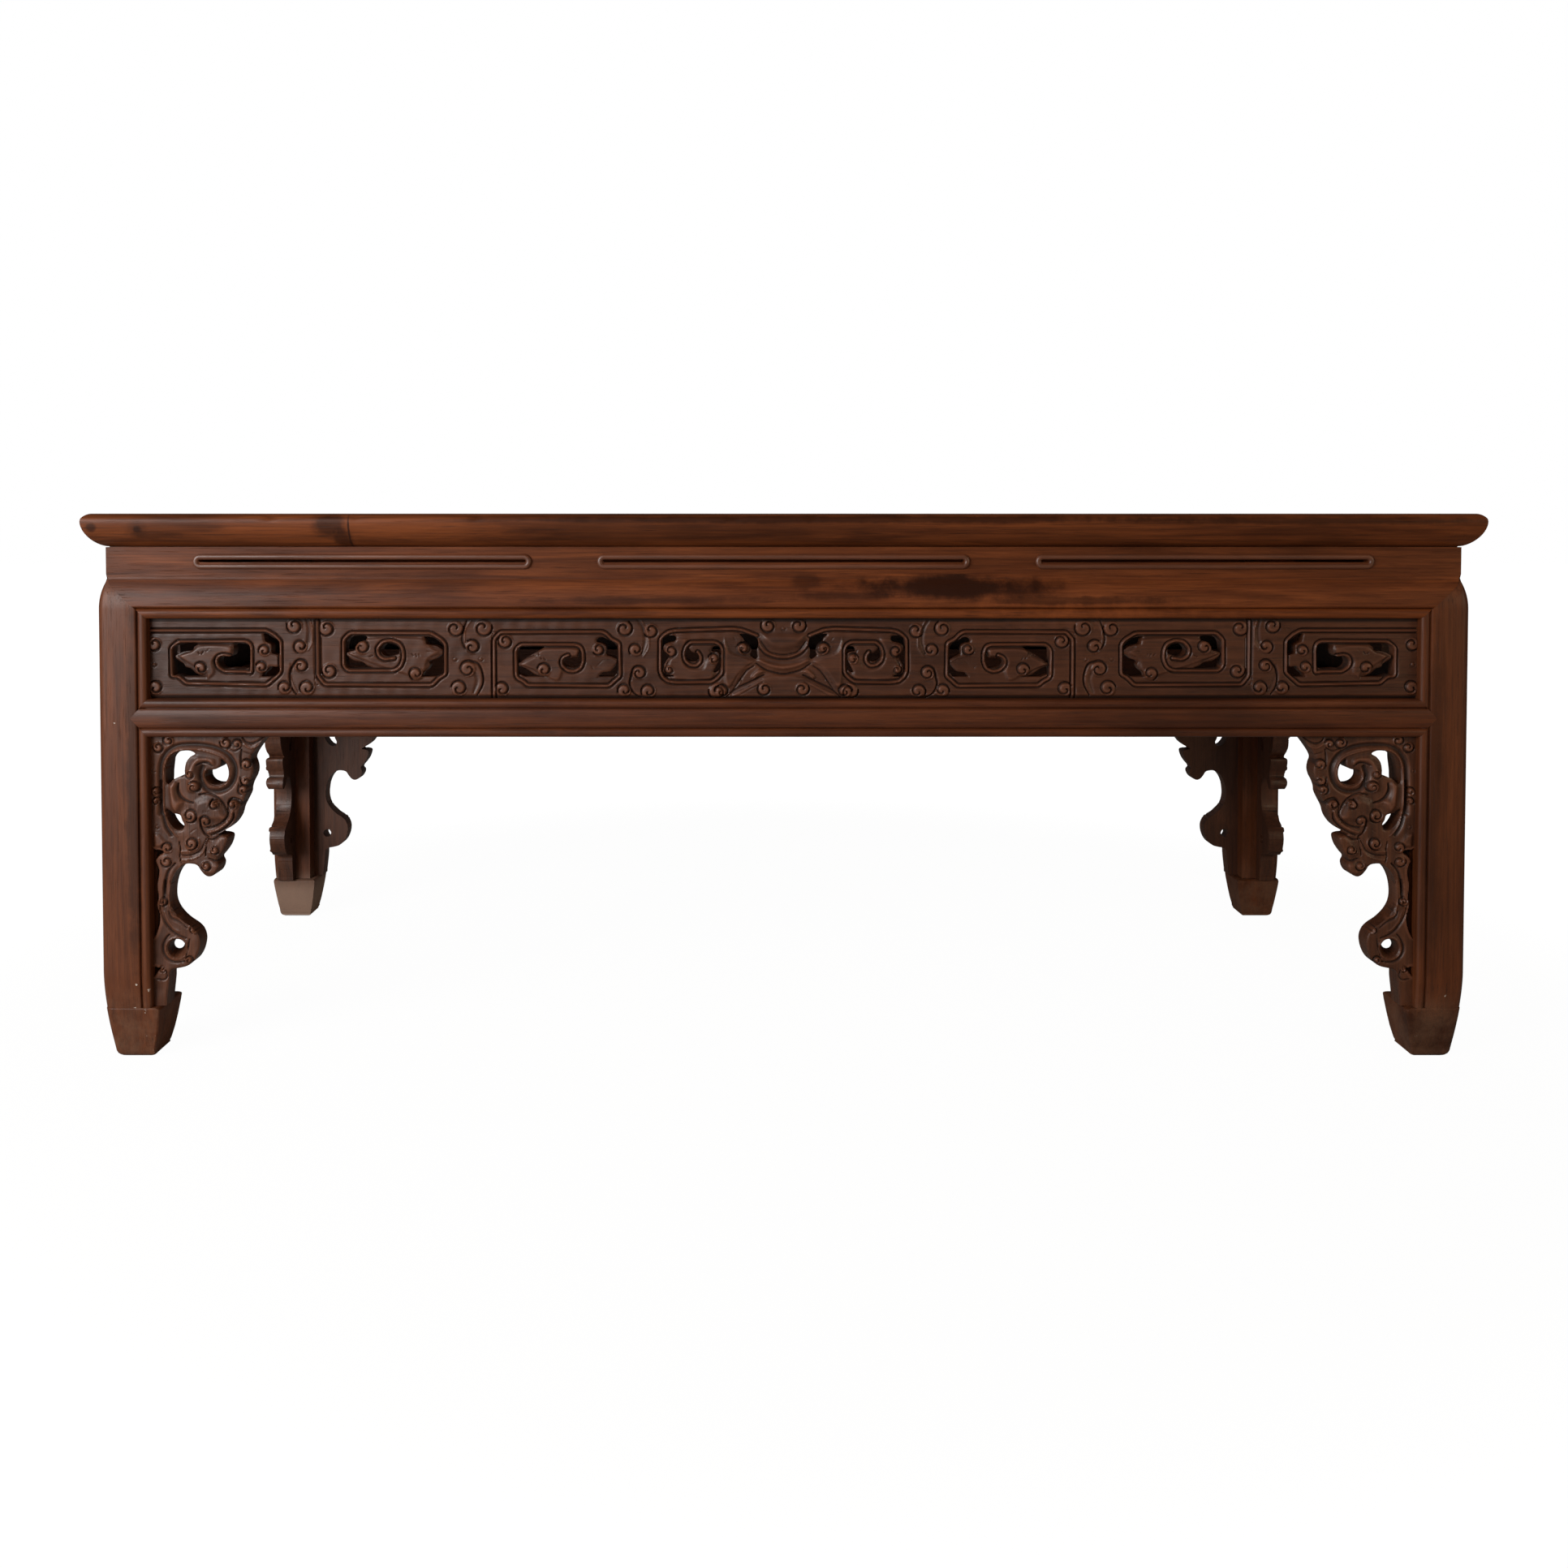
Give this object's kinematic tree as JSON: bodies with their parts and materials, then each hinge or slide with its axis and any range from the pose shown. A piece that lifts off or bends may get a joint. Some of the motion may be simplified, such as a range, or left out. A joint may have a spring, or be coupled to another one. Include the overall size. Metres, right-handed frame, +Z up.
{
  "type": "carved coffee table",
  "caption": "Low waisted coffee table with a mitred floating-panel top, slotted waist, convex apron, carved openwork frieze and corner spandrels, and straight legs on hoof feet.",
  "frame": {"origin": "centre of the footprint on the floor", "axes": "+X to the right along the long side, the front faces -Y, +Z up"},
  "size_m": [1.225, 0.513, 0.484],
  "materials": {
    "top_wood": "satin lacquer, worn",
    "panel_wood": "satin lacquer, worn",
    "inner_wood": "satin lacquer, worn",
    "waist_wood": "satin lacquer, worn",
    "leg_wood": "satin lacquer, worn",
    "frame_wood": "satin lacquer, worn",
    "carved_wood": "satin lacquer, worn"
  },
  "bodies": {
    "root": {"top_rail_front": "top_wood", "top_rail_back": "top_wood", "top_rail_left": "top_wood", "top_rail_right": "top_wood", "top_board_front": "panel_wood", "top_board_back": "panel_wood", "batten_left": "inner_wood", "batten_middle": "inner_wood", "batten_right": "inner_wood", "corner_dowels": "top_wood", "waist_front": "waist_wood", "waist_back": "waist_wood", "waist_left": "waist_wood", "waist_right": "waist_wood", "apron_front": "frame_wood", "apron_back": "frame_wood", "apron_left": "frame_wood", "apron_right": "frame_wood", "leg_front_left": "leg_wood", "leg_front_right": "leg_wood", "leg_back_left": "leg_wood", "leg_back_right": "leg_wood", "rail_front": "frame_wood", "rail_back": "frame_wood", "rail_left": "frame_wood", "rail_right": "frame_wood", "frieze_front": "carved_wood", "frieze_back": "carved_wood", "frieze_left": "carved_wood", "frieze_right": "carved_wood", "spandrel_front_left": "carved_wood", "spandrel_front_right": "carved_wood", "spandrel_back_left": "carved_wood", "spandrel_back_right": "carved_wood", "spandrel_left_front": "carved_wood", "spandrel_left_back": "carved_wood", "spandrel_right_front": "carved_wood", "spandrel_right_back": "carved_wood"}
  },
  "joints": []
}
